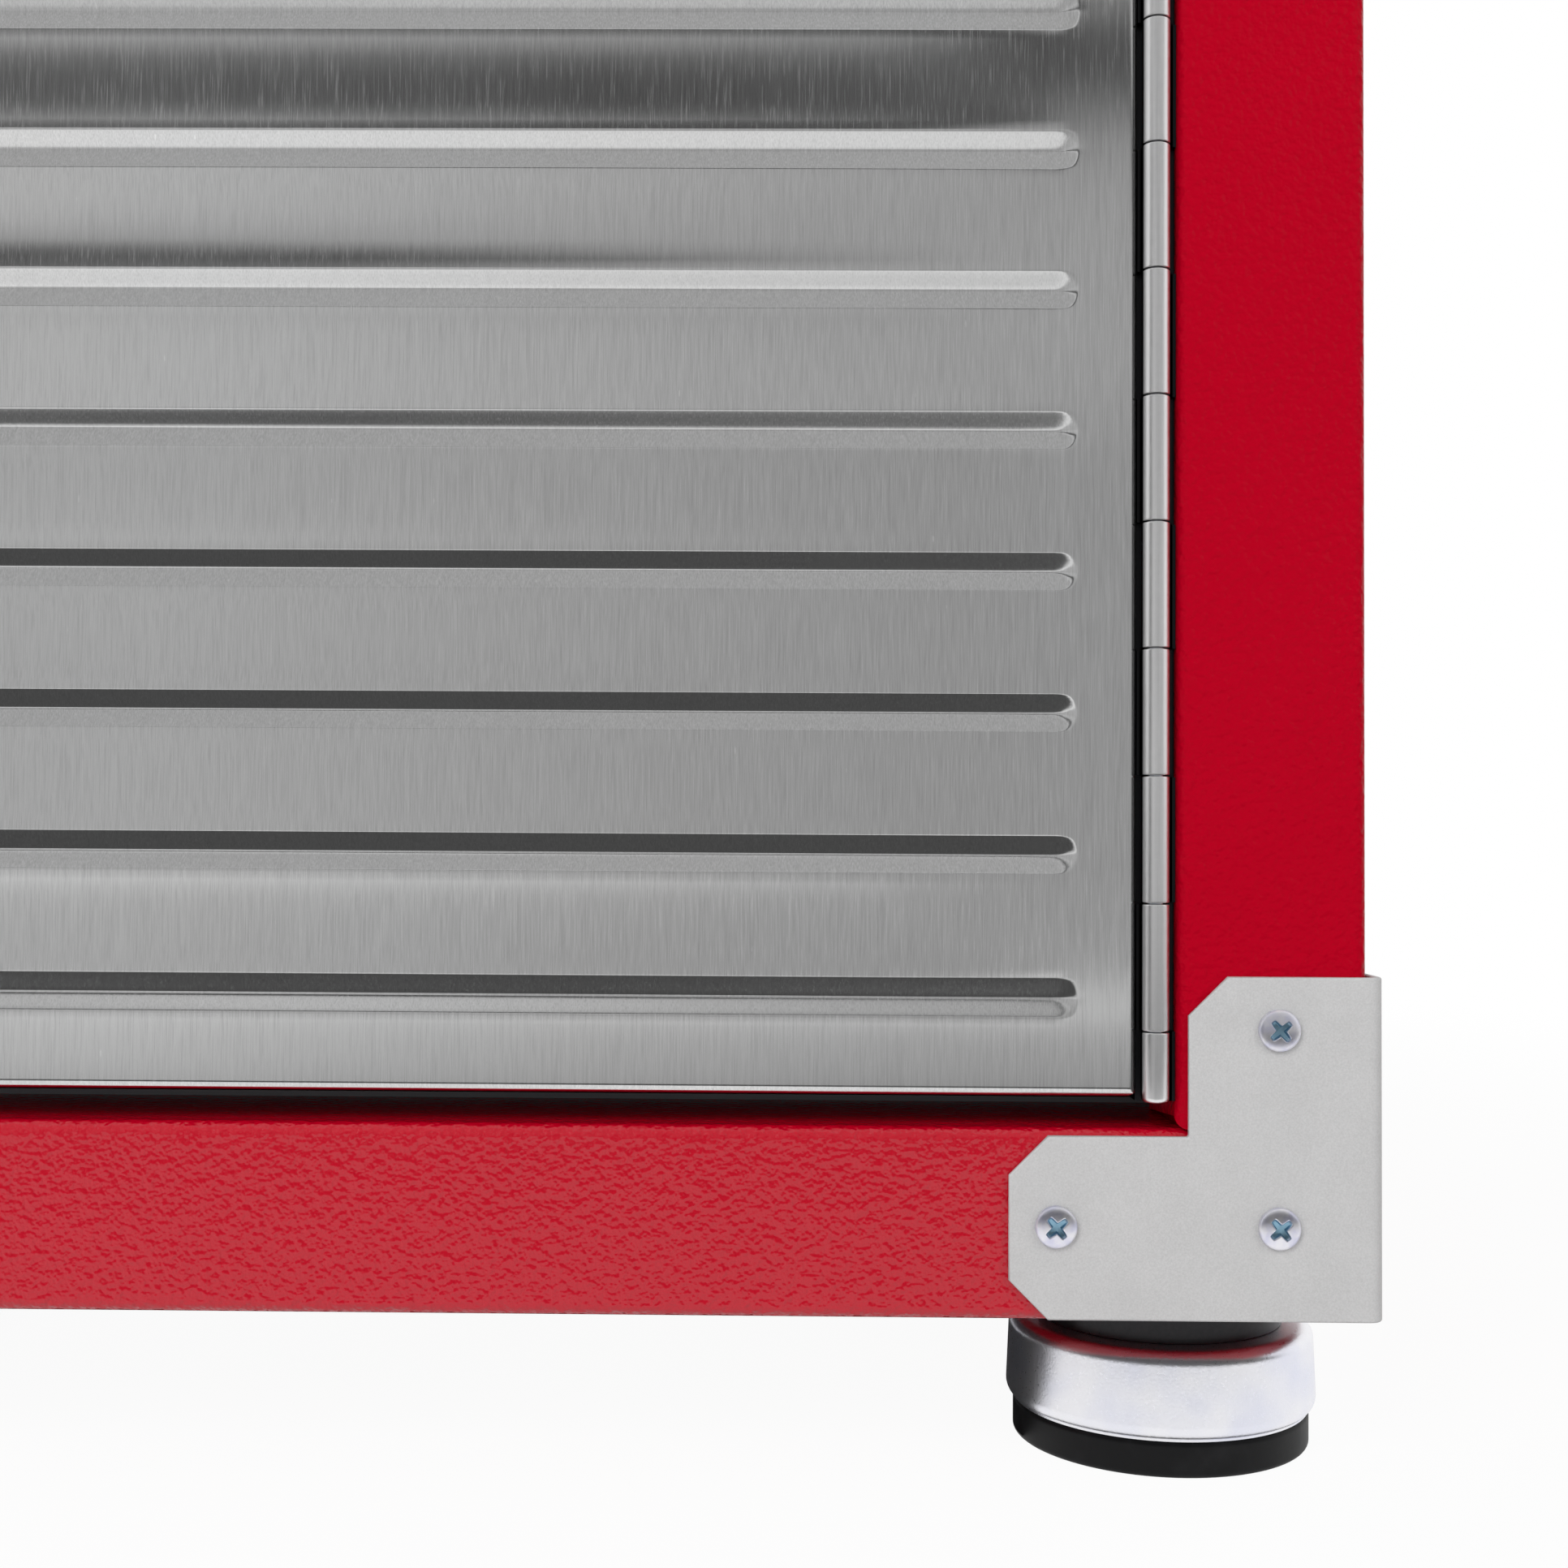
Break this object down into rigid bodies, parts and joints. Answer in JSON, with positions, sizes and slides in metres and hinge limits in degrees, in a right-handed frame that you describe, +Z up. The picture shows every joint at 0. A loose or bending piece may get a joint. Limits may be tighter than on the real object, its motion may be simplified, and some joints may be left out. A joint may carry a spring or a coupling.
{
  "type": "storage cabinet",
  "caption": "Tall lockable steel storage cabinet with ribbed stainless doors on continuous hinges, corner brackets, shelves and levelling feet.",
  "frame": {"origin": "on the floor under the middle of the cabinet's overall box", "axes": "+Z up, the doors face -Y, +X towards the door with the lock"},
  "size_m": [0.92, 0.496, 1.829],
  "materials": {
    "red_powder_coat": "textured red powder coat",
    "grey_powder_coat": "fine grey powder coat",
    "brushed_stainless": "brushed upright",
    "hinge_steel": "satin rolled steel",
    "silver_paint": "fine silver powder coat",
    "zinc_screw": "bright zinc plate",
    "zinc_plate": "zinc plate",
    "zinc_cup": "polished zinc plate",
    "black_steel": "satin black",
    "black_rubber": "moulded rubber"
  },
  "bodies": {
    "cabinet": {"right_side": "red_powder_coat", "left_side": "red_powder_coat", "bottom_rail": "red_powder_coat", "top_rail": "red_powder_coat", "top_panel": "red_powder_coat", "back_panel": "red_powder_coat", "foot_plates": "red_powder_coat", "bottom_deck": "grey_powder_coat", "shelf_1": "grey_powder_coat", "shelf_2": "grey_powder_coat", "shelf_3": "grey_powder_coat", "shelf_4": "grey_powder_coat", "shelf_standards": "grey_powder_coat", "right_frame_leaf": "hinge_steel", "left_frame_leaf": "hinge_steel", "right_hinge_pin": "hinge_steel", "left_hinge_pin": "hinge_steel", "lower_right_bracket": "silver_paint", "lower_left_bracket": "silver_paint", "upper_right_bracket": "silver_paint", "upper_left_bracket": "silver_paint", "bracket_screws": "zinc_screw", "frame_leaf_screws": "zinc_screw", "shelf_clips": "zinc_plate", "foot_nuts": "zinc_plate", "door_catches": "black_steel"},
    "right_door": {"right_door_skin": "brushed_stainless", "right_door_pan": "grey_powder_coat", "right_door_leaf": "hinge_steel", "right_leaf_screws": "zinc_screw", "right_handle": "brushed_stainless", "right_handle_screws": "zinc_screw", "lock_body": "zinc_plate", "lock_nut": "zinc_plate"},
    "left_door": {"left_door_skin": "brushed_stainless", "left_door_pan": "grey_powder_coat", "left_door_leaf": "hinge_steel", "left_leaf_screws": "zinc_screw", "left_handle": "brushed_stainless", "left_handle_screws": "zinc_screw", "lock_strike": "zinc_plate", "bolt_guides": "zinc_plate"},
    "lock": {"lock_plug": "zinc_plate", "lock_cam": "zinc_plate", "cam_screw": "zinc_screw"},
    "upper_bolt_body": {"upper_bolt": "zinc_plate"},
    "lower_bolt_body": {"lower_bolt": "zinc_plate"},
    "front_right_foot": {"front_right_cup": "zinc_cup", "front_right_pad": "black_rubber", "front_right_stud": "black_steel"},
    "front_left_foot": {"front_left_cup": "zinc_cup", "front_left_pad": "black_rubber", "front_left_stud": "black_steel"},
    "rear_right_foot": {"rear_right_cup": "zinc_cup", "rear_right_pad": "black_rubber", "rear_right_stud": "black_steel"},
    "rear_left_foot": {"rear_left_cup": "zinc_cup", "rear_left_pad": "black_rubber", "rear_left_stud": "black_steel"}
  },
  "joints": [
    {"name": "right_door_hinge", "type": "hinge", "parent": "cabinet", "child": "right_door", "pos_m": [0.4148, -0.209, 0.9], "axis": [0, 0, 1], "range_deg": [0, 160]},
    {"name": "left_door_hinge", "type": "hinge", "parent": "cabinet", "child": "left_door", "pos_m": [-0.4148, -0.209, 0.9], "axis": [0, 0, -1], "range_deg": [0, 160]},
    {"name": "lock_turn", "type": "hinge", "parent": "right_door", "child": "lock", "pos_m": [0.022, -0.208, 0.84], "axis": [0, 1, 0], "range_deg": [0, 90]},
    {"name": "upper_bolt_slide", "type": "slide", "parent": "left_door", "child": "upper_bolt_body", "axis": [0, 0, 1], "range_m": [0, 0.015]},
    {"name": "lower_bolt_slide", "type": "slide", "parent": "left_door", "child": "lower_bolt_body", "axis": [0, 0, -1], "range_m": [0, 0.015]},
    {"name": "front_right_foot_height", "type": "slide", "parent": "cabinet", "child": "front_right_foot", "axis": [0, 0, -1], "range_m": [0, 0.02]},
    {"name": "front_left_foot_height", "type": "slide", "parent": "cabinet", "child": "front_left_foot", "axis": [0, 0, -1], "range_m": [0, 0.02]},
    {"name": "rear_right_foot_height", "type": "slide", "parent": "cabinet", "child": "rear_right_foot", "axis": [0, 0, -1], "range_m": [0, 0.02]},
    {"name": "rear_left_foot_height", "type": "slide", "parent": "cabinet", "child": "rear_left_foot", "axis": [0, 0, -1], "range_m": [0, 0.02]}
  ]
}
